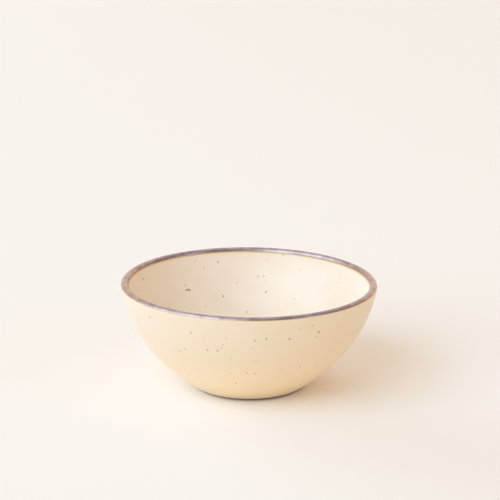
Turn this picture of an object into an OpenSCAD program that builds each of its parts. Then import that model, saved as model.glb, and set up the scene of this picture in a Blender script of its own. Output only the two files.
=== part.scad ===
// Small stoneware prep bowl: one turned clay body under three fired coats.
// The bowl stands on its foot ring at z = 0 with its axis on Z.

/* [Bowl] */
// Diameter over the lip
rim_d = 132; // [115:1:160]
// Height from the table to the top of the lip
height = 55.5; // [48:0.5:70]
// Thickness of the glazed wall, which the lip rounds over
wall_t = 4; // [3:0.1:5.5]
// Lean of the wall from upright just under the lip, in degrees
lip_lean = 10; // [4:1:16]
// Lean of the wall from upright where it reaches the foot, in degrees
foot_lean = 57; // [52:1:62]

/* [Inside] */
// Thickness of the floor over the recess, at the middle
floor_t = 4.5; // [3.5:0.1:6.5]
// Radius of the dished floor
floor_r = 150; // [120:5:260]
// Radius of the turn from the floor into the wall
heel_r = 30; // [20:1:34]

/* [Foot] */
// Diameter where the outer glaze stops above the bare foot
foot_d = 58; // [52:1:66]
// Height of that glaze line above the table
foot_h = 1; // [0.7:0.1:3]
// Width of the ring that the bowl stands on
ring_w = 4.5; // [3:0.1:8]
// Radius on both edges of the ring
ring_edge_r = 0.5; // [0.2:0.1:0.8]
// Depth of the recess inside the ring
recess_h = 1.6; // [1.2:0.1:2.6]
// Radius in the corner of the recess
recess_edge_r = 0.6; // [0.2:0.1:0.8]

/* [Glaze] */
// Thickness of each fired coat
glaze_t = 0.4; // [0.2:0.05:0.7]
// Outer edge of the brown band, in degrees above the lip's widest line
band_rise = 24; // [2:1:45]
// Run of the brown band down the inside, below the lip's round
band_drop = 0.1; // [0.1:0.1:4]

/* [Hidden] */
$fn = 240;
// Largest distance between an arc and its chords
arc_tolerance = 0.01;

// Every section lies in the half plane of radius and height. An arc there is
// [centre, radius, start angle, end angle], and it faces away from its centre.
function facing(angle) = [cos(angle), sin(angle)];
function arc_point(arc, angle) = arc[0] + arc[1] * facing(angle);
function arc_start(arc) = arc_point(arc, arc[2]);
function is_arc(item) = len(item) == 4;

// Points along an arc, close enough that no chord leaves it by more than the tolerance
function arc_points(arc) =
    let (steps = ceil(abs(arc[3] - arc[2]) / (2 * acos(1 - arc_tolerance / arc[1]))))
    [for (i = [0:steps]) arc_point(arc, arc[2] * (1 - i / steps) + arc[3] * i / steps)];

// The same arcs, moved towards their centres
function sunk(arcs, depth) = [for (a = arcs) [a[0], a[1] - depth, a[2], a[3]]];

// The same arcs, run from the last end back to the first start
function run_back(arcs) =
    [for (i = [len(arcs) - 1:-1:0]) [arcs[i][0], arcs[i][1], arcs[i][3], arcs[i][2]]];

// Radius of the arc that faces at_angle in point a and passes through point b
function arc_radius(a, at_angle, b) = (b - a) * (b - a) / (2 * facing(at_angle) * (a - b));

// Angle at which point b lies from point a
function bearing(a, b) = atan2(b.y - a.y, b.x - a.x);

// Crossing of two circles, on the right of the way from the first centre to the second
function crossing(c1, r1, c2, r2) =
    let (
        way = c2 - c1,
        gap = norm(way),
        ahead = (r1 * r1 - r2 * r2 + gap * gap) / (2 * gap),
        aside = sqrt(r1 * r1 - ahead * ahead)
    )
    c1 + (ahead * way + aside * [way.y, -way.x]) / gap;

// Lip: a round of half the wall's thickness
lip_r = wall_t / 2;
lip_c = [rim_d / 2 - lip_r, height - lip_r];
lip_inner = 180 - lip_lean;

// Outside of the wall: two arcs that meet in one tangent and leave the lip and
// reach the foot at the leans given above
wall_top = lip_c + lip_r * facing(-lip_lean);
wall_foot = [foot_d / 2, foot_h];
top_run = facing(-lip_lean - 90);
foot_run = facing(-foot_lean - 90);
wall_span = wall_foot - wall_top;
along = wall_span * (top_run + foot_run);
bend = 2 * (1 - top_run * foot_run);
reach = (sqrt(along * along + bend * (wall_span * wall_span)) - along) / bend;
wall_turn = (wall_top + wall_foot + reach * (top_run - foot_run)) / 2;
upper_r = arc_radius(wall_top, -lip_lean, wall_turn);
upper_c = wall_top - upper_r * facing(-lip_lean);
lower_r = arc_radius(wall_foot, -foot_lean, wall_turn);
lower_c = wall_foot - lower_r * facing(-foot_lean);
turn_lean = -bearing(upper_c, wall_turn);

// Floor and heel: a shallow dish, turned up into the wall
floor_c = [0, recess_h + floor_t + floor_r];
heel_c = crossing(lower_c, lower_r - wall_t - heel_r, floor_c, floor_r - heel_r);
heel_lean = -bearing(lower_c, heel_c);
floor_lean = -bearing(floor_c, heel_c);

// Lean of the inside where the brown band stops against the pale glaze
inner_upper_r = upper_r - wall_t;
hem_lean = lip_lean + band_drop / inner_upper_r * 180 / PI;

// Finished faces, from the foot up and from the middle of the floor up
wall_face = [
    [lower_c, lower_r, -foot_lean, -turn_lean],
    [upper_c, upper_r, -turn_lean, -lip_lean],
];
hollow_face = [
    [floor_c, floor_r, -90, -floor_lean],
    [heel_c, heel_r, -floor_lean, -heel_lean],
    [lower_c, lower_r - wall_t, -heel_lean, -turn_lean],
    [upper_c, inner_upper_r, -turn_lean, -hem_lean],
];
hem_face = [[upper_c, inner_upper_r, -hem_lean, -lip_lean]];
lip_face = [[lip_c, lip_r, -lip_lean, band_rise]];
band_face = [[lip_c, lip_r, band_rise, lip_inner]];

// Foot ring: it drops straight from the end of the glazed wall
ring_out_r = arc_start(sunk(wall_face, glaze_t)[0]).x;
ring_in_r = ring_out_r - ring_w;
recess_flat_r = ring_in_r - recess_edge_r;
foot_face = [
    [0, recess_h],
    [[recess_flat_r, recess_h - recess_edge_r], recess_edge_r, 90, 0],
    [[ring_in_r + ring_edge_r, ring_edge_r], ring_edge_r, 180, 270],
    [[ring_out_r - ring_edge_r, ring_edge_r], ring_edge_r, -90, 0],
];

// Area inside an outline of points and arcs
module section(outline) {
    polygon([for (item = outline) each is_arc(item) ? arc_points(item) : [item]]);
}

// Coat under a face, sunk into the wall by the thickness of one firing
module coat(face) {
    rotate_extrude() section(concat(face, run_back(sunk(face, glaze_t))));
}

// Stoneware under the glaze, bare at the foot
module clay_body() {
    skin = sunk(concat(wall_face, lip_face, band_face), glaze_t);
    inside = sunk(concat(hollow_face, hem_face), -glaze_t);
    color("#6b4c3f") rotate_extrude() section(concat(foot_face, skin, run_back(inside)));
}

// Pale glaze on the inside, from the floor up to the brown band
module inner_glaze() {
    color("#f4e5c6") coat(sunk(hollow_face, -glaze_t));
}

// Pale glaze on the outside, from the foot up past the lip's widest line
module outer_glaze() {
    color("#f1dfb8") coat(concat(wall_face, lip_face));
}

// Brown iron glaze over the top of the lip and a little way down the inside
module rim_band() {
    front = concat(band_face, run_back(hem_face));
    back = concat(sunk(hem_face, -glaze_t), run_back(sunk(band_face, glaze_t)));
    color("#7d5a4e") rotate_extrude() section(concat(front, back));
}

clay_body();
inner_glaze();
outer_glaze();
rim_band();
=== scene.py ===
"""Small stoneware prep bowl: pale speckled glaze, an iron-brown lip and a bare foot ring.

Each coat of glaze, and the clay under it, is a closed surface of revolution worked out from the arcs of the
bowl's half section. Iron specks are set into the glaze, and the bowl stands on a pale floor in soft light.
"""

import math

import bpy
import numpy as np
from bpy.props import FloatProperty, FloatVectorProperty, IntProperty, PointerProperty
from mathutils import Matrix, Vector
from mathutils.bvhtree import BVHTree


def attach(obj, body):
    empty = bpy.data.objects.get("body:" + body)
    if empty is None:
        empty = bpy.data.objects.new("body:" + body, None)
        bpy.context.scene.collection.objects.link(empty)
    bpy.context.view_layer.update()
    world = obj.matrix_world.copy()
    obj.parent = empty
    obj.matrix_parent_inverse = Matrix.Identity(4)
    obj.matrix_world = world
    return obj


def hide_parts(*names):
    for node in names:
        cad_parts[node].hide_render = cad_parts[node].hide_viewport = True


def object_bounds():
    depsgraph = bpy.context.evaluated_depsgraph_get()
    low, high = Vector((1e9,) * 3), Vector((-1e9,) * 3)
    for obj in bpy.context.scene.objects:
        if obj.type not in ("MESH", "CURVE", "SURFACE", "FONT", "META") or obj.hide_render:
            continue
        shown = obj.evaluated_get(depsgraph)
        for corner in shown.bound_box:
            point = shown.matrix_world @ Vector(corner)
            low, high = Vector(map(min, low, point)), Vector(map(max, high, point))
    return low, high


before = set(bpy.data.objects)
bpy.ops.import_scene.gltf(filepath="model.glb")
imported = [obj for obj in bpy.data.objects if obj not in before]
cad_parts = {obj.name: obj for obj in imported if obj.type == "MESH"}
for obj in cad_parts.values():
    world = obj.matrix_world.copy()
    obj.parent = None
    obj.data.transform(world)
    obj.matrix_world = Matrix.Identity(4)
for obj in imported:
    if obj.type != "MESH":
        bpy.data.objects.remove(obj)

bl_info = {
    "name": "Speckled Prep Bowl",
    "version": (1, 0, 0),
    "blender": (4, 5, 0),
    "location": "View3D > Sidebar > Prep Bowl",
    "description": "Dresses a small stoneware bowl in pale speckled glaze with a brown lip",
    "category": "Add Mesh",
}

BODY = "root"
CAD_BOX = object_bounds()
MM = 0.001
ON_PLANE = 0.01 * MM
FULL_TURN = 2 * math.pi

# The photograph's frame, in which every pixel coordinate below is given, and the camera's frame in mm
FRAME_PIXELS = 500
SENSOR_WIDTH = 36.0

# Iron specks seen inside the bowl: pixel x, pixel y, width in mm and strength of the iron
INSIDE_SPECKS = (
    (218.0, 262.0, 1.1, 0.85),
    (195.0, 261.0, 1.2, 0.30),
    (204.0, 268.0, 1.0, 0.25),
    (143.3, 279.2, 1.1, 0.95),
    (186.5, 290.3, 1.3, 0.90),
    (188.0, 289.6, 1.4, 1.00),
    (189.7, 290.2, 1.3, 0.90),
    (185.4, 285.0, 1.2, 0.35),
    (223.2, 296.2, 1.2, 0.90),
    (237.1, 282.6, 1.1, 0.30),
    (265.8, 292.2, 1.1, 1.00),
    (258.4, 275.8, 1.0, 0.55),
    (257.6, 277.4, 1.0, 0.50),
    (263.6, 276.2, 1.1, 0.55),
    (265.6, 282.0, 0.9, 0.25),
    (283.4, 254.6, 1.1, 0.90),
    (300.4, 269.8, 1.1, 0.25),
    (266.6, 259.6, 1.0, 0.25),
    (337.0, 282.2, 0.9, 0.35),
    (294.4, 299.0, 1.2, 0.25),
    (247.2, 312.0, 1.0, 0.80),
    (205.8, 306.4, 1.2, 0.30),
    (168.6, 307.2, 0.9, 0.90),
    (134.2, 274.6, 0.9, 0.45),
    (319.6, 306.8, 0.8, 0.25),
)

# Iron specks seen on the outside, in the same form
OUTSIDE_SPECKS = (
    (150.1, 317.1, 1.2, 0.85),
    (191.2, 332.8, 1.1, 0.75),
    (226.2, 338.6, 1.2, 0.35),
    (255.3, 340.7, 1.0, 1.00),
    (266.3, 338.8, 1.2, 0.90),
    (289.6, 338.9, 1.2, 0.95),
    (301.0, 328.8, 1.2, 0.30),
    (312.7, 325.8, 1.1, 0.65),
    (318.9, 332.2, 1.4, 1.00),
    (316.8, 336.7, 1.2, 0.50),
    (360.8, 325.4, 1.3, 0.50),
    (179.3, 351.2, 1.2, 0.65),
    (184.8, 349.0, 1.1, 0.80),
    (207.4, 350.2, 1.1, 0.85),
    (217.5, 350.6, 1.2, 0.90),
    (221.4, 347.9, 1.0, 0.60),
    (222.6, 344.8, 1.0, 0.45),
    (230.8, 358.2, 1.0, 0.30),
    (253.2, 347.8, 1.1, 0.25),
    (253.9, 361.7, 1.0, 0.50),
    (258.3, 361.0, 1.0, 0.45),
    (231.0, 373.4, 0.9, 0.40),
    (247.2, 373.0, 1.1, 0.65),
    (255.1, 373.7, 1.1, 0.70),
    (235.9, 383.4, 1.0, 0.75),
    (189.4, 374.6, 1.2, 0.50),
    (281.2, 368.8, 1.1, 0.35),
    (299.6, 367.4, 1.3, 0.40),
    (303.2, 379.5, 1.1, 0.70),
    (286.4, 357.2, 0.8, 0.20),
    (316.6, 363.6, 1.1, 0.20),
)


def corners_of(node):
    """Radius and height of every corner of a CAD node, as two arrays in metres."""
    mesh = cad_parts[node].data
    corners = np.empty(3 * len(mesh.vertices))
    mesh.vertices.foreach_get("co", corners)
    x, y, z = corners.reshape(-1, 3).T
    return np.hypot(x, y), z


CLAY_R, CLAY_Z = corners_of("clay_body")
INNER_R, INNER_Z = corners_of("inner_glaze")
OUTER_R, OUTER_Z = corners_of("outer_glaze")
BAND_Z = corners_of("rim_band")[1]
STANDING = CLAY_Z < ON_PLANE
RECESSED = (CLAY_R < CLAY_R[STANDING].min()) & (CLAY_Z < INNER_Z.min() - ON_PLANE)


def linear(hex_colour):
    """Linear RGB of an sRGB hex colour, by the sRGB transfer curve."""
    channels = [int(hex_colour[i:i + 2], 16) / 255 for i in (1, 3, 5)]
    return tuple(c / 12.92 if c <= 0.04045 else ((c + 0.055) / 1.055) ** 2.4 for c in channels)


def length(name, description, default):
    """A size in metres."""
    return FloatProperty(name=name, description=description, default=default, unit="LENGTH", precision=5)


def angle(name, description, degrees):
    """An angle, given in degrees and kept in radians."""
    return FloatProperty(name=name, description=description, default=math.radians(degrees), unit="ROTATION")


def colour(name, description, hex_colour):
    """A colour, given as sRGB hex and kept linear."""
    return FloatVectorProperty(
        name=name, description=description, default=linear(hex_colour), subtype="COLOR", min=0.0, max=1.0
    )


def number(name, description, default, unit="NONE"):
    """A plain number, such as a share or a light's power."""
    return FloatProperty(name=name, description=description, default=default, min=0.0, unit=unit)


class BowlShape(bpy.types.PropertyGroup):
    """Sizes of the bowl's half section."""

    rim_radius: length("Rim radius", "Radius over the lip", min(CAD_BOX[1][:2]))
    height: length("Height", "From the table to the top of the lip", BAND_Z.max())
    wall: length("Wall", "Thickness of the glazed wall and of the lip", 4 * MM)
    lip_lean: angle("Lip lean", "Lean of the wall from upright just under the lip", 10)
    foot_lean: angle("Foot lean", "Lean of the wall from upright at the foot", 57)
    foot_radius: length("Foot radius", "Where the outer glaze stops", OUTER_R[OUTER_Z.argmin()])
    foot_line: length("Foot line", "Height at which the outer glaze stops", OUTER_Z.min())
    ring_inner: length("Ring inner radius", "Inner edge of the face it stands on", CLAY_R[STANDING].min())
    ring_outer: length("Ring outer radius", "Outer edge of the face it stands on", CLAY_R[STANDING].max())
    ring_edge: length("Ring edge", "Rounding on both edges of the foot ring", 0.5 * MM)
    foot_bevel: length("Foot bevel", "How far the ring's outer edge is turned in under the glaze", 1.6 * MM)
    foot_run: length("Foot run", "How far the glaze runs down past the foot line on the left", 1.5 * MM)
    recess: length("Recess", "Depth of the recess inside the ring", CLAY_Z[RECESSED].max())
    recess_edge: length("Recess edge", "Rounding in the corner of the recess", 0.6 * MM)
    floor_height: length("Floor height", "Middle of the floor inside", INNER_Z[INNER_R < ON_PLANE].max())
    floor_radius: length("Floor radius", "Radius of the dished floor", 150 * MM)
    heel_radius: length("Heel radius", "Radius of the turn from floor to wall", 30 * MM)
    glaze: length("Glaze", "Thickness of each fired coat", BAND_Z.max() - CLAY_Z.max())
    band_rise: angle("Band rise", "Outer edge of the band, above the lip's widest line", 24)
    band_drop: length("Band drop", "Run of the band down the inside, below the lip's round", 0.1 * MM)
    band_lap: length("Band lap", "How far the band runs on under the pale glaze", 0.25 * MM)
    band_step: length("Band step", "How much the band lies lower than the pale glaze", 0.06 * MM)
    edge_drift: length("Edge drift", "How far the hand-cut glaze edges wander", 0.12 * MM)
    face_drift: length("Face drift", "How far the glazed faces swell and sink", 0.05 * MM)
    groove_depth: length("Groove depth", "Height of the turning marks in the recess", 0.04 * MM)
    groove_pitch: length("Groove pitch", "Spacing of the turning marks", 0.9 * MM)
    turns: IntProperty(name="Turns", description="Steps round the bowl", default=384, min=24)


class BowlFinish(bpy.types.PropertyGroup):
    """Colours of the fired surfaces."""

    pale: colour("Pale glaze", "Glaze on the outside, where it lies even", "#EED8B9")
    # Lining colour, also laid on the left of the outside as a painted lit side where the key light falls
    thick: colour("Thick glaze", "Glaze where it lies thickest and whitest, as on the inside", "#F4E2CD")
    cloud: colour("Cloud", "Glaze in its slightly deeper clouds", "#EDD6B0")
    # Gathered glaze at the foot, lighter than the pale glaze, so it is also painted bounce light on the
    # lower wall
    pooled: colour("Pooled glaze", "Glaze where it has run and gathered at the foot", "#FFE4B7")
    thin: colour("Thin glaze", "Glaze where it breaks against the lip", "#D2A85A")
    speck: colour("Speck", "Iron grains in the pale glaze", "#96692A")
    band: colour("Band", "Iron glaze over the lip", "#B89A92")
    band_dark: colour("Band dark", "Iron glaze in its darker patches", "#A0847C")
    clay: colour("Clay", "Bare fired stoneware", "#8A7264")
    clay_dark: colour("Clay dark", "Grog and scorching in the stoneware", "#60554C")


class BowlStage(bpy.types.PropertyGroup):
    """Camera, lights and floor."""

    camera_pitch: angle("Camera pitch", "How far the camera looks down", 15.5)
    camera_roll: angle("Camera roll", "Turn of the camera about its own axis", 0.53)
    camera_distance: length("Camera distance", "From the camera to the point it aims at", 1054.5 * MM)
    aim_height: length("Aim height", "Height of that point", 71.64 * MM)
    aim_side: length("Aim side", "How far that point lies to the right of the bowl's axis", 0.36 * MM)
    lens: number("Lens", "Focal length in mm, on a 36 mm frame", 148.0, unit="CAMERA")
    floor: colour("Floor", "Matte cream paper under the bowl", "#FBF3EA")
    key_power: number("Key power", "Power of the large light on the left", 589.0, unit="POWER")
    side_power: number("Side power", "Power of the low light behind on the left", 244.0, unit="POWER")
    fill_power: number("Fill power", "Power of the light on the right", 10.0, unit="POWER")
    key_tint: colour("Key tint", "Colour of the large light on the left", "#B1D8FF")
    side_tint: colour("Side tint", "Colour of the low light behind on the left", "#B3D6FF")
    fill_tint: colour("Fill tint", "Colour of the light on the right", "#94C8FF")
    room: colour("Room", "Colour of the light from all round", "#FFEACC")
    room_strength: number("Room strength", "Strength of the light from all round", 0.733)
    mirror_low: colour("Mirrored walls", "Room at the horizon, as the gloss mirrors it", "#91887D")
    mirror_high: colour("Mirrored ceiling", "Room overhead, as the gloss mirrors it", "#86909E")
    mirror_dim: colour("Mirrored dim side", "Room in front on the right, as the gloss mirrors it", "#595B60")
    mirror_window: colour("Mirrored window", "Window at the front left, as the gloss mirrors it", "#BCE1FC")
    mirrored: number("Mirrored", "Strength of the room, as the gloss mirrors it", 4.0)


class PrepBowl(bpy.types.PropertyGroup):
    """All that can be set on the bowl and its stage."""

    shape: PointerProperty(type=BowlShape)
    finish: PointerProperty(type=BowlFinish)
    stage: PointerProperty(type=BowlStage)


def facing(turned_by):
    """Unit vector at an angle in the half plane of radius and height."""
    return np.array([math.cos(turned_by), math.sin(turned_by)])


class ArcChain:
    """Arcs that follow one another in the half plane of radius and height.

    An arc is (centre, radius, first angle, last angle) and faces away from its centre, or towards it where
    the radius is negative. A place on the chain is its distance from the start, and a depth is measured
    against the facing. Past its ends the chain runs on along its first and last arcs.
    """

    def __init__(self, arcs):
        self.centre = np.array([arc[0] for arc in arcs])
        self.radius = np.array([arc[1] for arc in arcs])
        self.first = np.array([arc[2] for arc in arcs])
        ends = np.cumsum([radius * (last - first) for _, radius, first, last in arcs])
        self.starts = np.concatenate([[0.0], ends[:-1]])
        self.length = ends[-1]

    def bearing(self, along):
        """Index of the arc at a place, and the angle at which it faces: first angle + distance / radius."""
        arc = np.clip(np.searchsorted(self.starts, along, side="right") - 1, 0, None)
        return arc, self.first[arc] + (along - self.starts[arc]) / self.radius[arc]

    def point(self, along, depth=0.0):
        """Radius and height at a place: the arc's centre + (its radius - depth) along the facing."""
        arc, bearing = self.bearing(along)
        reach = self.radius[arc] - depth
        return self.centre[arc, 0] + reach * np.cos(bearing), self.centre[arc, 1] + reach * np.sin(bearing)


class HalfSection:
    """Finished faces of the bowl, as two chains of arcs.

    outside runs from the foot line up the wall, over the lip and down the inside, and hollow from the middle
    of the floor up to the lip. The wall's two arcs meet in one tangent and leave the lip and the foot at the
    given leans.
    """

    def __init__(self, shape):
        lip_r = shape.wall / 2
        lip_c = np.array([shape.rim_radius - lip_r, shape.height - lip_r])
        top = lip_c + lip_r * facing(-shape.lip_lean)
        foot = np.array([shape.foot_radius, shape.foot_line])
        turn = self.tangent_turn(top, -shape.lip_lean, foot, -shape.foot_lean)
        upper_r = self.arc_radius(top, -shape.lip_lean, turn)
        upper_c = top - upper_r * facing(-shape.lip_lean)
        lower_r = self.arc_radius(foot, -shape.foot_lean, turn)
        lower_c = foot - lower_r * facing(-shape.foot_lean)
        turn_lean = -self.bearing(upper_c, turn)
        floor_c = np.array([0.0, shape.floor_height + shape.floor_radius])
        inner_lower_r = lower_r - shape.wall
        heel_c = self.crossing(
            lower_c, inner_lower_r - shape.heel_radius, floor_c, shape.floor_radius - shape.heel_radius
        )
        heel_lean = -self.bearing(lower_c, heel_c)
        floor_lean = -self.bearing(floor_c, heel_c)
        self.outside = ArcChain([
            (lower_c, lower_r, -shape.foot_lean, -turn_lean),
            (upper_c, upper_r, -turn_lean, -shape.lip_lean),
            (lip_c, lip_r, -shape.lip_lean, math.pi - shape.lip_lean),
            (upper_c, shape.wall - upper_r, math.pi - shape.lip_lean, math.pi - turn_lean),
        ])
        self.hollow = ArcChain([
            (floor_c, shape.floor_radius, -math.pi / 2, -floor_lean),
            (heel_c, shape.heel_radius, -floor_lean, -heel_lean),
            (lower_c, inner_lower_r, -heel_lean, -turn_lean),
            (upper_c, upper_r - shape.wall, -turn_lean, -shape.lip_lean),
        ])
        self.lip_end = self.outside.starts[3]
        self.band_edge = self.outside.starts[2] + lip_r * (shape.lip_lean + shape.band_rise)
        self.band_hem = self.hollow.length - shape.band_drop

    @staticmethod
    def tangent_turn(a, facing_a, b, facing_b):
        """Point where two arcs between a and b meet, with equal reach along the tangents at a and b."""
        run_a, run_b = facing(facing_a - math.pi / 2), facing(facing_b - math.pi / 2)
        span = b - a
        along = span @ (run_a + run_b)
        bend = 2 * (1 - run_a @ run_b)
        reach = (math.sqrt(along * along + bend * (span @ span)) - along) / bend
        return (a + b + reach * (run_a - run_b)) / 2

    @staticmethod
    def arc_radius(a, facing_a, b):
        """Radius of the arc that faces facing_a in point a and passes through point b."""
        return (b - a) @ (b - a) / (2 * facing(facing_a) @ (a - b))

    @staticmethod
    def bearing(a, b):
        """Angle at which point b lies from point a."""
        return math.atan2(b[1] - a[1], b[0] - a[0])

    @staticmethod
    def crossing(centre_1, radius_1, centre_2, radius_2):
        """Crossing of two circles, on the right of the way from the first centre to the second."""
        way = centre_2 - centre_1
        gap = math.hypot(*way)
        ahead = (radius_1 ** 2 - radius_2 ** 2 + gap ** 2) / (2 * gap)
        aside = math.sqrt(radius_1 ** 2 - ahead ** 2)
        return centre_1 + (ahead * way + aside * np.array([way[1], -way[0]])) / gap


def drift(waves, turn, along=0.0, cycle=1.0):
    """Gentle handmade unevenness from 0 to 1: a sum of waves, whole-numbered round the bowl, that climb it.

    The waves are a seed and their orders. A wave is sin(order * turn + climb * along + phase) / order, with
    a climb of up to one full turn per cycle, which is a length along the wall.
    """
    seed, orders = waves
    rng = np.random.default_rng(seed)
    total = np.zeros(np.broadcast(turn, along).shape)
    for order in orders:
        climb = FULL_TURN / cycle * rng.uniform(-1.0, 1.0)
        phase = rng.uniform(0.0, FULL_TURN)
        total = total + np.sin(order * turn + climb * along + phase) / order
    reach = sum(1 / order for order in orders)
    return 0.5 + 0.5 * total / reach


def turn_angles(steps):
    """Angles of even steps round an axis."""
    return np.linspace(0.0, FULL_TURN, steps, endpoint=False)


def round_edge(edge, front, back, rows):
    """Places and depths over a coat's rounded edge, half a turn from its front to its back."""
    turn = np.linspace(0.0, math.pi, rows + 2)[1:-1, None]
    half = (front - back) / 2
    return edge + np.abs(half) * np.sin(turn), (front + back) / 2 + half * np.cos(turn)


def lathe_quads(rows, turns, poles):
    """Corners of the faces between the rows of a lathe grid.

    Without poles the last row joins the first. With poles the first and the last row are one point each, and
    the faces beside them have a repeated corner.
    """
    if poles:
        ring = 1 + np.arange((rows - 2) * turns).reshape(rows - 2, turns)
        tip = np.zeros((1, turns), int)
        index = np.concatenate([tip, ring, tip + ring.max() + 1])
        lower, upper = index[:-1], index[1:]
    else:
        lower = np.arange(rows * turns).reshape(rows, turns)
        upper = np.roll(lower, -1, axis=0)
    return np.stack([lower, np.roll(lower, -1, 1), np.roll(upper, -1, 1), upper], axis=-1).reshape(-1, 4)


def lathe_points(grid, poles):
    """Values of a lathe grid in the order of its corners, with one value for each pole."""
    if not poles:
        return grid.reshape(-1, *grid.shape[2:])
    middle = grid[1:-1].reshape(-1, *grid.shape[2:])
    return np.concatenate([grid[0, :1], middle, grid[-1, :1]])


def new_piece(name, points, quads, material, attributes):
    """Smooth mesh object from arrays, with its faces pointing outwards.

    Repeated corners are dropped. The enclosed volume, the sum of a . (b x c) over the faces' triangles,
    tells which way round the faces are.
    """
    a, b, c, d = (points[quads[:, i]] for i in range(4))
    if np.sum(a * (np.cross(b, c) + np.cross(c, d))) < 0:
        quads = quads[:, ::-1]
    kept = quads != np.roll(quads, 1, axis=1)
    sizes = kept.sum(axis=1)
    mesh = bpy.data.meshes.new(name)
    mesh.vertices.add(len(points))
    mesh.vertices.foreach_set("co", points.ravel())
    mesh.loops.add(int(sizes.sum()))
    mesh.loops.foreach_set("vertex_index", quads[kept])
    mesh.polygons.add(len(quads))
    mesh.polygons.foreach_set("loop_start", np.cumsum(sizes) - sizes)
    mesh.update(calc_edges=True)
    mesh.shade_smooth()
    for label, values in attributes.items():
        mesh.attributes.new(label, "FLOAT", "POINT").data.foreach_set("value", values.astype(np.float32))
    mesh.materials.append(material)
    piece = bpy.data.objects.new(name, mesh)
    bpy.context.scene.collection.objects.link(piece)
    return piece


def turned_piece(name, radius, height, material, poles=False, attributes=None):
    """Surface of revolution: row i and turn j give (radius cos turn, radius sin turn, height)."""
    rows, turns = radius.shape
    turn = turn_angles(turns)
    grid = np.stack([radius * np.cos(turn), radius * np.sin(turn), height], axis=-1)
    values = {label: lathe_points(field, poles) for label, field in (attributes or {}).items()}
    return new_piece(name, lathe_points(grid, poles), lathe_quads(rows, turns, poles), material, values)


def add_node(tree, kind, settings):
    """Adds one node. A setting is a socket to link from, a value for an input or a property of the node."""
    node = tree.nodes.new(kind)
    for name, value in settings.items():
        if isinstance(value, bpy.types.NodeSocket):
            tree.links.new(value, node.inputs[name])
        elif isinstance(name, int) or name in node.inputs:
            node.inputs[name].default_value = value
        else:
            setattr(node, name, value)
    return node


# Sockets of a Mix node that mixes colours
MIX_A, MIX_B, MIX_RESULT = 6, 7, 2


def blank_material(name):
    """New node material, its tree and, in that tree, the piece's own coordinates in metres."""
    material = bpy.data.materials.new(name)
    material.use_nodes = True
    tree = material.node_tree
    tree.nodes.clear()
    return material, tree, add_node(tree, "ShaderNodeTexCoord", {}).outputs["Object"]


def rgba(tint):
    """A linear colour with full alpha."""
    return (*tint, 1.0)


def satin_pale_glaze(finish):
    """Stoneware glaze with a little iron, dipped and fired to a satin.

    The eye sees a soft sheen without a sharp mirror image, faint clouds where the coat varies, amber where
    it gathers at the foot or breaks thin on the lip, and brown grains of iron that have melted into it. The
    lighter colour towards the foot is partly painted bounce light, and the left of the outside is painted
    whiter as a painted lit side.
    """
    name = "satin_pale_glaze"
    if name in bpy.data.materials:
        return bpy.data.materials[name]
    cloud_size, satin_size, peel_size, peel_depth = 14 * MM, 4 * MM, 1.6 * MM, 0.05 * MM
    fleck_cell, fleck_width = 3 * MM, 0.2 * MM
    material, tree, place = blank_material(name)
    clouds = add_node(tree, "ShaderNodeTexNoise", {"Vector": place, "Scale": 1 / cloud_size, "Detail": 4.0})
    cloudy = add_node(tree, "ShaderNodeMapRange", {
        "interpolation_type": "SMOOTHSTEP", "Value": clouds.outputs["Fac"],
        "From Min": 0.35, "From Max": 0.75, "To Max": 0.35,
    })
    cells = add_node(tree, "ShaderNodeTexVoronoi", {"Vector": place, "Scale": 1 / fleck_cell})
    flecked = add_node(tree, "ShaderNodeMapRange", {
        "Value": cells.outputs["Distance"],
        "From Min": fleck_width / fleck_cell, "From Max": 0.0, "To Max": 0.35,
    })
    thick, pooled, thinned, iron = (
        add_node(tree, "ShaderNodeAttribute", {"attribute_name": label}).outputs["Fac"]
        for label in ("thick", "pooled", "thinned", "iron")
    )
    layers = (
        # The lining, and on the outside a painted lit side on the left
        (thick, finish.thick),
        (cloudy.outputs["Result"], finish.cloud),
        # Gathered glaze towards the foot, partly painted bounce light
        (pooled, finish.pooled),
        (thinned, finish.thin),
        (flecked.outputs["Result"], finish.speck),
        (iron, finish.speck),
    )
    tint = rgba(finish.pale)
    for share, layer in layers:
        tint = add_node(tree, "ShaderNodeMix", {
            "data_type": "RGBA", "Factor": share, MIX_A: tint, MIX_B: rgba(layer),
        }).outputs[MIX_RESULT]
    satin = add_node(tree, "ShaderNodeTexNoise", {"Vector": place, "Scale": 1 / satin_size, "Detail": 2.0})
    sheen = add_node(tree, "ShaderNodeMapRange", {
        "Value": satin.outputs["Fac"], "From Min": 0.3, "From Max": 0.7, "To Min": 0.48, "To Max": 0.58,
    })
    peel = add_node(tree, "ShaderNodeTexNoise", {"Vector": place, "Scale": 1 / peel_size, "Detail": 2.0})
    skin = add_node(tree, "ShaderNodeBump", {
        "Height": peel.outputs["Fac"], "Strength": 0.2, "Distance": peel_depth,
    })
    shader = add_node(tree, "ShaderNodeBsdfPrincipled", {
        "Base Color": tint, "Roughness": sheen.outputs["Result"], "Normal": skin.outputs["Normal"],
        "IOR": 1.5, "Coat Weight": 0.35, "Coat Roughness": 0.35,
    })
    add_node(tree, "ShaderNodeOutputMaterial", {"Surface": shader.outputs["BSDF"]})
    return material


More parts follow.
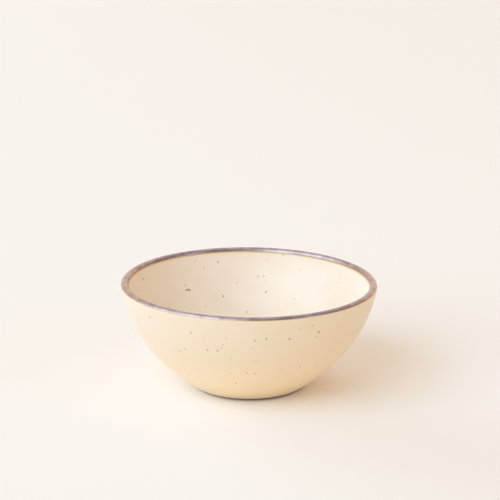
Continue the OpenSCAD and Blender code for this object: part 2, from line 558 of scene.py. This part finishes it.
def glossy_iron_glaze(finish):
    """Iron-saturated glaze, brushed over the lip and fired glossy.

    Iron that came out at the surface gives it a metallic lustre: the eye sees a dark warm brown with uneven
    patches, and the lights mirrored in long cool streaks.
    """
    patch_size, streak_size, ripple_size, ripple_depth = 5 * MM, 1.2 * MM, 2.5 * MM, 0.08 * MM
    material, tree, place = blank_material("glossy_iron_glaze")
    patches = add_node(tree, "ShaderNodeTexNoise", {"Vector": place, "Scale": 1 / patch_size, "Detail": 4.0})
    patchy = add_node(tree, "ShaderNodeMapRange", {
        "interpolation_type": "SMOOTHSTEP", "Value": patches.outputs["Fac"],
        "From Min": 0.35, "From Max": 0.65,
    })
    brown = add_node(tree, "ShaderNodeMix", {
        "data_type": "RGBA", "Factor": patchy.outputs["Result"],
        MIX_A: rgba(finish.band), MIX_B: rgba(finish.band_dark),
    })
    streaks = add_node(tree, "ShaderNodeTexNoise", {
        "Vector": place, "Scale": 1 / streak_size, "Detail": 2.0,
    })
    gloss = add_node(tree, "ShaderNodeMapRange", {
        "Value": streaks.outputs["Fac"], "From Min": 0.3, "From Max": 0.7, "To Min": 0.14, "To Max": 0.22,
    })
    ripples = add_node(tree, "ShaderNodeTexNoise", {
        "Vector": place, "Scale": 1 / ripple_size, "Detail": 1.0,
    })
    skin = add_node(tree, "ShaderNodeBump", {
        "Height": ripples.outputs["Fac"], "Strength": 0.2, "Distance": ripple_depth,
    })
    shader = add_node(tree, "ShaderNodeBsdfPrincipled", {
        "Base Color": brown.outputs[MIX_RESULT], "Roughness": gloss.outputs["Result"],
        "Normal": skin.outputs["Normal"], "Metallic": 0.8, "IOR": 1.6,
    })
    add_node(tree, "ShaderNodeOutputMaterial", {"Surface": shader.outputs["BSDF"]})
    return material


def bare_stoneware(finish):
    """Vitrified stoneware, turned and left bare at the foot.

    The eye sees a dry brown clay with darker grog and fine grit, and no gloss.
    """
    scorch_size, grog_size, grit_size, grit_depth = 9 * MM, 1.2 * MM, 0.35 * MM, 0.08 * MM
    material, tree, place = blank_material("bare_stoneware")
    scorch = add_node(tree, "ShaderNodeTexNoise", {"Vector": place, "Scale": 1 / scorch_size, "Detail": 3.0})
    scorched = add_node(tree, "ShaderNodeMapRange", {
        "Value": scorch.outputs["Fac"], "From Min": 0.4, "From Max": 0.7, "To Max": 0.6,
    })
    grog = add_node(tree, "ShaderNodeTexVoronoi", {"Vector": place, "Scale": 1 / grog_size})
    grains = add_node(tree, "ShaderNodeMapRange", {
        "Value": grog.outputs["Distance"], "From Min": 0.28, "From Max": 0.16, "To Max": 0.7,
    })
    tint = rgba(finish.clay)
    for darker in (scorched, grains):
        tint = add_node(tree, "ShaderNodeMix", {
            "data_type": "RGBA", "Factor": darker.outputs["Result"],
            MIX_A: tint, MIX_B: rgba(finish.clay_dark),
        }).outputs[MIX_RESULT]
    grit = add_node(tree, "ShaderNodeTexNoise", {"Vector": place, "Scale": 1 / grit_size, "Detail": 3.0})
    rough = add_node(tree, "ShaderNodeMapRange", {
        "Value": grit.outputs["Fac"], "From Min": 0.3, "From Max": 0.7, "To Min": 0.78, "To Max": 0.92,
    })
    skin = add_node(tree, "ShaderNodeBump", {
        "Height": grit.outputs["Fac"], "Strength": 0.5, "Distance": grit_depth,
    })
    shader = add_node(tree, "ShaderNodeBsdfPrincipled", {
        "Base Color": tint, "Roughness": rough.outputs["Result"], "Normal": skin.outputs["Normal"],
        "IOR": 1.5,
    })
    add_node(tree, "ShaderNodeOutputMaterial", {"Surface": shader.outputs["BSDF"]})
    return material


def cream_paper(stage):
    """Seamless background paper, rolled out matte: an even cream with a trace of fibre."""
    fibre_size = 3 * MM
    material, tree, place = blank_material("cream_paper")
    fibre = add_node(tree, "ShaderNodeTexNoise", {"Vector": place, "Scale": 1 / fibre_size, "Detail": 2.0})
    rough = add_node(tree, "ShaderNodeMapRange", {
        "Value": fibre.outputs["Fac"], "To Min": 0.85, "To Max": 0.95,
    })
    shader = add_node(tree, "ShaderNodeBsdfPrincipled", {
        "Base Color": rgba(stage.floor), "Roughness": rough.outputs["Result"], "Specular IOR Level": 0.2,
    })
    add_node(tree, "ShaderNodeOutputMaterial", {"Surface": shader.outputs["BSDF"]})
    return material


def camera_matrix(stage):
    """Where the camera stands: behind its aim along the pitch, looking down by the pitch and rolled."""
    back = Vector((0.0, -math.cos(stage.camera_pitch), math.sin(stage.camera_pitch)))
    aim = Vector((stage.aim_side, 0.0, stage.aim_height))
    place = Matrix.Translation(aim + stage.camera_distance * back)
    tilt = Matrix.Rotation(math.pi / 2 - stage.camera_pitch, 4, "X")
    return place @ tilt @ Matrix.Rotation(stage.camera_roll, 4, "Z")


class PREPBOWL_OT_stage(bpy.types.Operator):
    """Sets up the camera, the soft boxes, the room's light and the cream paper"""

    bl_idname = "prep_bowl.stage"
    bl_label = "Stage"

    # Round paper, in metres: its flat middle, its curve up, its wall, and how far its back lies off it
    PAPER_FLAT, PAPER_CURVE, PAPER_WALL, PAPER_SINK = 4.0, 0.3, 0.1, 0.004
    PAPER_ROWS, PAPER_TURNS = 24, 128

    # Ways to the ceiling, the dim side and the window of the mirrored room, each with the share of a
    # direction along that way at which the change from the walls starts and ends
    CEILING = (0.0, 0.0, 1.0), 0.1, 1.0
    DIM_SIDE = (0.85, -0.5, 0.2), 0.0, 0.85
    WINDOW = (-0.79, -0.49, 0.37), 0.5, 0.93

    # Soft boxes: azimuth, left of the camera when negative, and elevation in degrees, then distance, width
    # and height in metres
    SOFT_BOXES = {
        "key": (-46, 34, 8.0, 7.0, 7.5),
        "side": (-135, 12, 6.0, 5.0, 2.0),
        "fill": (62, 28, 3.0, 1.2, 1.5),
    }

    def area_light(self, name, power, tint, mirrored):
        """Soft box that hangs at its place and faces the bowl.

        Where it isn't mirrored, the gloss shows the room's window instead.
        """
        azimuth, elevation, distance, width, height = self.SOFT_BOXES[name]
        lamp = bpy.data.lights.new(name, "AREA")
        lamp.energy = power
        lamp.color = tint
        lamp.shape = "RECTANGLE"
        lamp.size, lamp.size_y = width, height
        turn, climb = math.radians(azimuth), math.radians(elevation)
        flat = math.cos(climb)
        way = Vector((math.sin(turn) * flat, -math.cos(turn) * flat, math.sin(climb)))
        light = bpy.data.objects.new(name, lamp)
        light.location = distance * way
        light.rotation_euler = way.to_track_quat("Z", "Y").to_euler()
        light.visible_glossy = mirrored
        bpy.context.scene.collection.objects.link(light)

    def room(self, stage):
        """World that lights evenly.

        The camera and the gloss see it change from a warm horizon to a cool ceiling with the height of the
        direction, dim in front on the right, and bright at the window.
        """
        world = bpy.data.worlds.new("room")
        world.use_nodes = True
        tree = world.node_tree
        tree.nodes.clear()
        way = add_node(tree, "ShaderNodeTexCoord", {}).outputs["Generated"]
        walls = rgba(stage.mirror_low)
        sides = (
            (*self.CEILING, stage.mirror_high),
            (*self.DIM_SIDE, stage.mirror_dim),
            (*self.WINDOW, stage.mirror_window),
        )
        for toward, start, end, tint in sides:
            along = add_node(tree, "ShaderNodeVectorMath", {"operation": "DOT_PRODUCT", 0: way, 1: toward})
            step = add_node(tree, "ShaderNodeMapRange", {
                "interpolation_type": "SMOOTHSTEP", "Value": along.outputs["Value"],
                "From Min": start, "From Max": end,
            })
            walls = add_node(tree, "ShaderNodeMix", {
                "data_type": "RGBA", "Factor": step.outputs["Result"],
                MIX_A: walls, MIX_B: rgba(tint),
            }).outputs[MIX_RESULT]
        seen = add_node(tree, "ShaderNodeBackground", {"Color": walls, "Strength": stage.mirrored})
        even = add_node(tree, "ShaderNodeBackground", {
            "Color": rgba(stage.room), "Strength": stage.room_strength,
        })
        path = add_node(tree, "ShaderNodeLightPath", {})
        looking = path.outputs["Is Camera Ray"]
        for kind in ("Is Glossy Ray", "Is Transmission Ray"):
            looking = add_node(tree, "ShaderNodeMath", {
                "operation": "MAXIMUM", 0: looking, 1: path.outputs[kind],
            }).outputs["Value"]
        room = add_node(tree, "ShaderNodeMixShader", {
            "Fac": looking, 1: even.outputs["Background"], 2: seen.outputs["Background"],
        })
        add_node(tree, "ShaderNodeOutputWorld", {"Surface": room.outputs["Shader"]})
        return world

    def paper(self, stage):
        """Round sheet: flat in the middle, then a quarter turn up into a wall, closed with a thin back."""
        bend = np.linspace(0.0, math.pi / 2, self.PAPER_ROWS)
        reach = self.PAPER_FLAT + self.PAPER_CURVE * np.sin(bend)
        rise = self.PAPER_CURVE * (1 - np.cos(bend))
        flat = np.linspace(0.0, self.PAPER_FLAT, self.PAPER_ROWS)[:-1]
        radius = np.concatenate([flat, reach, reach[-1:]])
        height = np.concatenate([0 * flat, rise, rise[-1:] + self.PAPER_WALL])
        back_r = np.concatenate([(radius + self.PAPER_SINK)[:0:-1], [0.0]])
        back_z = np.concatenate([(height - self.PAPER_SINK)[:0:-1], [-self.PAPER_SINK]])
        turns = np.ones((1, self.PAPER_TURNS))
        rows_r = np.concatenate([radius, back_r])[:, None] * turns
        rows_z = np.concatenate([height, back_z])[:, None] * turns
        return turned_piece("paper", rows_r, rows_z, cream_paper(stage), poles=True)

    def execute(self, context):
        scene = context.scene
        stage = scene.prep_bowl.stage
        lens = bpy.data.cameras.new("camera")
        lens.lens = stage.lens
        lens.sensor_width = SENSOR_WIDTH
        camera = bpy.data.objects.new("camera", lens)
        camera.matrix_world = camera_matrix(stage)
        scene.collection.objects.link(camera)
        scene.camera = camera
        scene.view_settings.view_transform = "Standard"
        self.area_light("key", stage.key_power, stage.key_tint, mirrored=False)
        self.area_light("side", stage.side_power, stage.side_tint, mirrored=False)
        self.area_light("fill", stage.fill_power, stage.fill_tint, mirrored=True)
        scene.world = self.room(stage)
        self.paper(stage)
        return {"FINISHED"}


class PREPBOWL_OT_clay_body(bpy.types.Operator):
    """Turns the stoneware body, with its foot ring and the turning marks in the recess"""

    bl_idname = "prep_bowl.clay_body"
    bl_label = "Clay body"

    FLAT_ROWS, CORNER_ROWS, BEVEL_ROWS, SKIN_ROWS, CORE_ROWS = 240, 9, 9, 120, 90

    # Distance from the axis and from the ring over which the turning marks die away
    GROOVE_FADE = 2 * MM

    def foot_path(self, shape, wall_r, wall_z):
        """Radius and height from the middle of the recess, over the foot ring and up its bevel to the wall.

        The recess is flat, its corner and the ring's two edges are quarter turns, and the bevel is straight.
        """
        quarter = np.linspace(0.0, math.pi / 2, self.CORNER_ROWS)
        flat_end = shape.ring_inner - shape.ring_edge - shape.recess_edge
        flat_r = np.linspace(0.0, flat_end, self.FLAT_ROWS)
        flat_z = np.full(self.FLAT_ROWS, shape.recess)
        corner_r = flat_end + shape.recess_edge * np.sin(quarter)
        corner_z = shape.recess - shape.recess_edge * (1 - np.cos(quarter))
        inner_r = shape.ring_inner - shape.ring_edge * np.cos(quarter)
        inner_z = shape.ring_edge * (1 - np.sin(quarter))
        outer_r = shape.ring_outer - shape.foot_bevel + shape.ring_edge * np.sin(quarter)
        outer_z = shape.ring_edge * (1 - np.cos(quarter))
        bevel_r = np.linspace(outer_r[-1], wall_r, self.BEVEL_ROWS)[1:-1]
        bevel_z = np.linspace(outer_z[-1], wall_z, self.BEVEL_ROWS)[1:-1]
        radius = np.concatenate([flat_r, corner_r[1:], inner_r, outer_r, bevel_r])
        height = np.concatenate([flat_z, corner_z[1:], inner_z, outer_z, bevel_z])
        return radius, height

    def execute(self, context):
        bowl = context.scene.prep_bowl
        shape = bowl.shape
        section = HalfSection(shape)
        up = np.linspace(-shape.foot_run, section.lip_end, self.SKIN_ROWS)
        down = np.linspace(section.hollow.length, 0.0, self.CORE_ROWS)
        skin_r, skin_z = section.outside.point(up, shape.glaze)
        core_r, core_z = section.hollow.point(down, -shape.glaze)
        foot_r, foot_z = self.foot_path(shape, skin_r[0], skin_z[0])
        radius = np.concatenate([foot_r, skin_r, core_r])[:, None]
        height = np.concatenate([foot_z, skin_z, core_z])[:, None]
        turn = turn_angles(shape.turns // 2)[None]
        under_foot = np.arange(radius.size)[:, None] < foot_r.size
        inside_ring = np.minimum(radius, shape.ring_inner - shape.ring_edge - radius)
        fade = under_foot * np.clip(inside_ring / self.GROOVE_FADE, 0.0, 1.0)
        groove = shape.groove_depth * np.sin(FULL_TURN * radius / shape.groove_pitch + turn)
        clay = bare_stoneware(bowl.finish)
        body = turned_piece("stoneware_body", radius + 0 * turn, height + fade * groove, clay, poles=True)
        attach(body, BODY)
        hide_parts("clay_body")
        return {"FINISHED"}


class PREPBOWL_OT_pale_coats(bpy.types.Operator):
    """Coats the inside and the outside with pale glaze"""

    bl_idname = "prep_bowl.pale_coats"
    bl_label = "Pale glaze coats"

    EDGE_ROWS, FRONT_ROWS, BACK_ROWS = 9, 110, 36

    # Widths over which the glaze is thin against the lip, and gathered towards the foot and painted lighter
    # there, partly painted bounce light from the floor
    OUTER_THIN, INNER_THIN, POOL_WIDTH = 0.75 * MM, 1.2 * MM, 55 * MM

    # Painted light on the left, the side the key light falls on: from the first share of the way over to it,
    # the outer coat is painted whiter by up to the second share and loses up to the third share of its amber
    # foot colour. There the glaze also runs on past the foot line, as if that side went into the dip first.
    DIP_START, DIP_THICK, DIP_POOLED = 0.1, 0.5, 0.3

    # Where the lower edge's rounding starts above the foot line, as a share of half the coat's thickness
    FOOT_SHARE = 0.6

    # Seed and orders of the waves in which each edge wanders and each face swells
    OUTER_TOP_WAVES = 11, (2, 3, 5, 7, 11, 17)
    OUTER_FOOT_WAVES = 12, (2, 3, 5, 9, 14)
    OUTER_FACE_WAVES = 13, (1, 2, 3, 4, 5, 7)
    INNER_TOP_WAVES = 21, (2, 3, 5, 8, 13, 19)
    INNER_FACE_WAVES = 22, (1, 2, 3, 4, 6)

    # Cycle of a face's waves, and the distances over which they die out at the lip and on the floor
    SWELL_CYCLE, LIP_SETTLE, FLOOR_SETTLE = 30 * MM, 3 * MM, 20 * MM

    def spread(self, rows):
        """Shares from 0 to 1 that crowd towards the lip: 1 - (1 - t) squared."""
        return (1 - (1 - np.linspace(0.0, 1.0, rows)) ** 2)[:, None]

    def hem(self, inward, width):
        """Share of an edge's colour at a distance inward from it.

        It is 1 at the edge and falls to 0 over the width, as 1 - t squared times (3 - 2 t).
        """
        share = np.clip(inward / width, 0.0, 1.0)
        return 1 - share ** 2 * (3 - 2 * share)

    def outer_coat(self, bowl, section):
        """Ring-shaped coat up the outside: front, rounded upper edge, back, rounded lower edge."""
        shape = bowl.shape
        turn = turn_angles(shape.turns)[None]
        half = shape.glaze / 2
        # Share of the painted lit side on the left, where the key light falls; the glaze also runs lower
        # there
        dipped = 1 - self.hem(-np.cos(turn) - self.DIP_START, 1 - self.DIP_START)
        top = section.band_edge + shape.edge_drift * (2 * drift(self.OUTER_TOP_WAVES, turn) - 1)
        foot = half * self.FOOT_SHARE + shape.edge_drift * drift(self.OUTER_FOOT_WAVES, turn)
        foot = foot - shape.foot_run * dipped
        up = foot + (top - half - foot) * self.spread(self.FRONT_ROWS)
        swell = shape.face_drift * drift(self.OUTER_FACE_WAVES, turn, up, self.SWELL_CYCLE)
        settle = np.clip((top - up) / self.LIP_SETTLE, 0.0, 1.0)
        down = foot + (top - half - foot) * self.spread(self.BACK_ROWS)[::-1]
        over = round_edge(top - half, 0 * turn, shape.glaze + 0 * turn, self.EDGE_ROWS)
        under = round_edge(0 * turn, shape.glaze + 0 * turn, swell[:1], self.EDGE_ROWS)
        along = np.concatenate([up, over[0], down, foot - under[0]])
        depth = np.concatenate([swell * settle, over[1], 0 * down + shape.glaze, under[1]])
        radius, height = section.outside.point(along, depth)
        thinned = self.hem(top - along, self.OUTER_THIN)
        # Amber of the gathered glaze, lightened towards the foot as painted bounce light from the floor
        pooled = self.hem(along - foot, self.POOL_WIDTH) * (1 - self.DIP_POOLED * dipped)
        # Painted lit side: the left of the outer coat whitened towards the lining colour, where the key
        # light falls
        thick = self.DIP_THICK * dipped + 0 * along
        coat = turned_piece(
            "outer_glaze_coat", radius, height, satin_pale_glaze(bowl.finish),
            attributes={"thinned": thinned, "pooled": pooled, "thick": thick},
        )
        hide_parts("outer_glaze")
        return coat

    def inner_coat(self, bowl, section):
        """Lining of the hollow: from the axis out over the floor and up, round its edge, and back under."""
        shape = bowl.shape
        turn = turn_angles(shape.turns)[None]
        half = shape.glaze / 2
        top = section.band_hem + shape.edge_drift * (2 * drift(self.INNER_TOP_WAVES, turn) - 1)
        up = (top - half) * self.spread(self.FRONT_ROWS)
        swell = shape.face_drift * drift(self.INNER_FACE_WAVES, turn, up, self.SWELL_CYCLE)
        settle = np.clip((top - up) / self.LIP_SETTLE, 0.0, 1.0) * np.clip(up / self.FLOOR_SETTLE, 0.0, 1.0)
        down = (top - half) * self.spread(self.BACK_ROWS)[::-1]
        over = round_edge(top - half, 0 * turn, -shape.glaze + 0 * turn, self.EDGE_ROWS)
        along = np.concatenate([up, over[0], down])
        depth = np.concatenate([-swell * settle, over[1], 0 * down - shape.glaze])
        radius, height = section.hollow.point(along, depth)
        thinned = self.hem(top - along, self.INNER_THIN)
        coat = turned_piece(
            "inner_glaze_coat", radius, height, satin_pale_glaze(bowl.finish), poles=True,
            attributes={"thinned": thinned, "thick": np.ones_like(along)},
        )
        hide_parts("inner_glaze")
        return coat

    def execute(self, context):
        bowl = context.scene.prep_bowl
        section = HalfSection(bowl.shape)
        for coat in (self.outer_coat(bowl, section), self.inner_coat(bowl, section)):
            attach(coat, BODY)
        return {"FINISHED"}


class PREPBOWL_OT_rim_band(bpy.types.Operator):
    """Brushes the iron glaze over the lip, running on under both edges of the pale glaze"""

    bl_idname = "prep_bowl.rim_band"
    bl_label = "Rim band"

    EDGE_ROWS, FRONT_ROWS, BACK_ROWS = 5, 40, 12

    # Seed and orders of the waves in its face, their cycle, and their share of the pale coats' swelling
    FACE_WAVES = 31, (2, 3, 5, 7, 9, 13)
    SWELL_CYCLE, SWELL_SHARE = 6 * MM, 0.4

    def execute(self, context):
        bowl = context.scene.prep_bowl
        shape = bowl.shape
        section = HalfSection(shape)
        turn = turn_angles(shape.turns)[None]
        first = section.band_edge - shape.band_lap
        last = section.lip_end + shape.band_drop + shape.band_lap
        up = first + (last - first) * np.linspace(0.0, 1.0, self.FRONT_ROWS)[:, None] + 0 * turn
        down = first + (last - first) * np.linspace(1.0, 0.0, self.BACK_ROWS)[:, None] + 0 * turn
        swell = self.SWELL_SHARE * shape.face_drift * drift(self.FACE_WAVES, turn, up, self.SWELL_CYCLE)
        sunk = shape.band_step + swell
        over = round_edge(last + 0 * turn, sunk[-1:], shape.glaze + 0 * turn, self.EDGE_ROWS)
        under = round_edge(0 * turn, shape.glaze + 0 * turn, sunk[:1], self.EDGE_ROWS)
        along = np.concatenate([up, over[0], down, first - under[0]])
        depth = np.concatenate([sunk, over[1], 0 * down + shape.glaze, under[1]])
        radius, height = section.outside.point(along, depth)
        band = turned_piece("iron_rim_band", radius, height, glossy_iron_glaze(bowl.finish))
        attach(band, BODY)
        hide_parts("rim_band")
        return {"FINISHED"}


class PREPBOWL_OT_iron_specks(bpy.types.Operator):
    """Sets grains of iron into the pale glaze, where the photograph shows them and at random elsewhere"""

    bl_idname = "prep_bowl.iron_specks"
    bl_label = "Iron specks"

    SEED, SECTORS = 7, 12

    # Rings of a grain, from the middle of its top to its underside: reach, rise over the glaze and iron
    REACH_SHARES = np.array([0.0, 0.45, 0.8, 1.0, 0.0])
    RISES = np.array([0.03, 0.028, 0.016, -0.03, -0.10]) * MM
    IRON_SHARES = np.array([1.0, 0.95, 0.6, 0.0, 0.0])

    # Waves in a grain's outline: order, and height as a share of its reach
    OUTLINE_WAVES = (2, 0.22), (3, 0.14), (5, 0.08)

    # Grains on the sides that the camera doesn't see: their number and the shares of the way up the wall
    # between which they lie, then least and most width in mm and strength
    HIDDEN_OUTSIDE, HIDDEN_INSIDE = (40, 0.1, 0.95), (14, 0.45, 0.95)
    HIDDEN_WIDTHS, HIDDEN_STRENGTHS = (0.8, 1.4), (0.2, 1.0)

    def seen(self, stage, pixels):
        """Points and normals where the camera's rays through the pixels first meet the glazed bowl."""
        graph = bpy.context.evaluated_depsgraph_get()
        trees = [
            BVHTree.FromObject(bpy.data.objects[name], graph)
            for name in ("outer_glaze_coat", "inner_glaze_coat", "iron_rim_band")
        ]
        matrix = camera_matrix(stage)
        eye, turned = matrix.translation, matrix.to_3x3()
        scale = SENSOR_WIDTH / stage.lens / FRAME_PIXELS
        middle = FRAME_PIXELS / 2
        places, normals = [], []
        for x, y in pixels:
            ray = turned @ Vector(((x - middle) * scale, (middle - y) * scale, -1.0))
            hits = [hit for hit in (tree.ray_cast(eye, ray.normalized()) for tree in trees) if hit[0]]
            if not hits:
                raise RuntimeError(f"the ray through pixel {x}, {y} misses the bowl")
            place, normal, _, _ = min(hits, key=lambda hit: hit[3])
            places.append(place)
            normals.append(normal)
        return np.array(places), np.array(normals)

    def hidden(self, section, rng):
        """Random points and normals where the camera sees nothing: far side outside, near side inside."""
        sides = (
            (section.outside, section.band_edge, 1.0, math.pi / 2, self.HIDDEN_OUTSIDE),
            (section.hollow, section.band_hem, -1.0, -math.pi / 2, self.HIDDEN_INSIDE),
        )
        places, normals = [], []
        for chain, reach, sense, middle, (count, low, high) in sides:
            along = reach * rng.uniform(low, high, count)
            turn = middle + rng.uniform(-0.5, 0.5, count) * math.pi
            radius, height = chain.point(along)
            lean = chain.bearing(along)[1]
            places.append(np.stack([radius * np.cos(turn), radius * np.sin(turn), height], axis=-1))
            out = np.stack([np.cos(lean) * np.cos(turn), np.cos(lean) * np.sin(turn), np.sin(lean)], axis=-1)
            normals.append(sense * out)
        return np.concatenate(places), np.concatenate(normals)

    def execute(self, context):
        bowl = context.scene.prep_bowl
        section = HalfSection(bowl.shape)
        rng = np.random.default_rng(self.SEED)
        listed = np.array(INSIDE_SPECKS + OUTSIDE_SPECKS)
        seen_places, seen_normals = self.seen(bowl.stage, listed[:, :2])
        hidden_places, hidden_normals = self.hidden(section, rng)
        hidden_count = len(hidden_places)
        count = len(seen_places) + hidden_count
        place = np.concatenate([seen_places, hidden_places])[:, None, None]
        normal = np.concatenate([seen_normals, hidden_normals])
        width = np.concatenate([listed[:, 2], rng.uniform(*self.HIDDEN_WIDTHS, hidden_count)]) * MM
        strength = np.concatenate([listed[:, 3], rng.uniform(*self.HIDDEN_STRENGTHS, hidden_count)])
        level = np.cross((0.0, 0.0, 1.0), normal)
        level /= np.linalg.norm(level, axis=1, keepdims=True)
        climb = np.cross(normal, level)
        sector = turn_angles(self.SECTORS)
        phases = rng.uniform(0.0, FULL_TURN, (len(self.OUTLINE_WAVES), count, 1))
        outline = 1.0
        for (order, share), phase in zip(self.OUTLINE_WAVES, phases):
            outline = outline + share * np.cos(order * sector + phase)
        reach = 0.5 * width[:, None, None] * self.REACH_SHARES[:, None] * outline[:, None, :]
        aside, upward = reach * np.cos(sector), reach * np.sin(sector)
        points = (place + aside[..., None] * level[:, None, None] + upward[..., None] * climb[:, None, None]
                  + self.RISES[:, None, None] * normal[:, None, None])
        iron = strength[:, None, None] * self.IRON_SHARES[:, None] * np.ones(self.SECTORS)
        quads = lathe_quads(self.REACH_SHARES.size, self.SECTORS, poles=True)
        size = quads.max() + 1
        quads = (quads + size * np.arange(count)[:, None, None]).reshape(-1, 4)
        corners = np.concatenate([lathe_points(grid, poles=True) for grid in points])
        values = np.concatenate([lathe_points(grid, poles=True) for grid in iron])
        specks = new_piece("iron_specks", corners, quads, satin_pale_glaze(bowl.finish), {"iron": values})
        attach(specks, BODY)
        return {"FINISHED"}


OPERATORS = (
    PREPBOWL_OT_stage,
    PREPBOWL_OT_clay_body,
    PREPBOWL_OT_pale_coats,
    PREPBOWL_OT_rim_band,
    PREPBOWL_OT_iron_specks,
)


class PREPBOWL_PT_panel(bpy.types.Panel):
    """Lists the bowl's pieces and everything that can be set on them"""

    bl_idname = "PREPBOWL_PT_panel"
    bl_label = "Prep Bowl"
    bl_space_type = "VIEW_3D"
    bl_region_type = "UI"
    bl_category = "Prep Bowl"

    def draw(self, context):
        for operator in OPERATORS:
            self.layout.operator(operator.bl_idname)
        bowl = context.scene.prep_bowl
        for group in (bowl.shape, bowl.finish, bowl.stage):
            box = self.layout.box()
            for name in group.__annotations__:
                box.prop(group, name)


CLASSES = (BowlShape, BowlFinish, BowlStage, PrepBowl, *OPERATORS, PREPBOWL_PT_panel)


def register():
    """Registers the classes and hangs the settings on the scene."""
    for cls in CLASSES:
        bpy.utils.register_class(cls)
    bpy.types.Scene.prep_bowl = PointerProperty(type=PrepBowl)


def unregister():
    """Undoes register."""
    del bpy.types.Scene.prep_bowl
    for cls in reversed(CLASSES):
        bpy.utils.unregister_class(cls)


def main():
    """Builds the stage and the bowl."""
    register()
    bpy.ops.prep_bowl.stage()
    bpy.ops.prep_bowl.clay_body()
    bpy.ops.prep_bowl.pale_coats()
    bpy.ops.prep_bowl.rim_band()
    bpy.ops.prep_bowl.iron_specks()


if __name__ == "__main__":
    main()
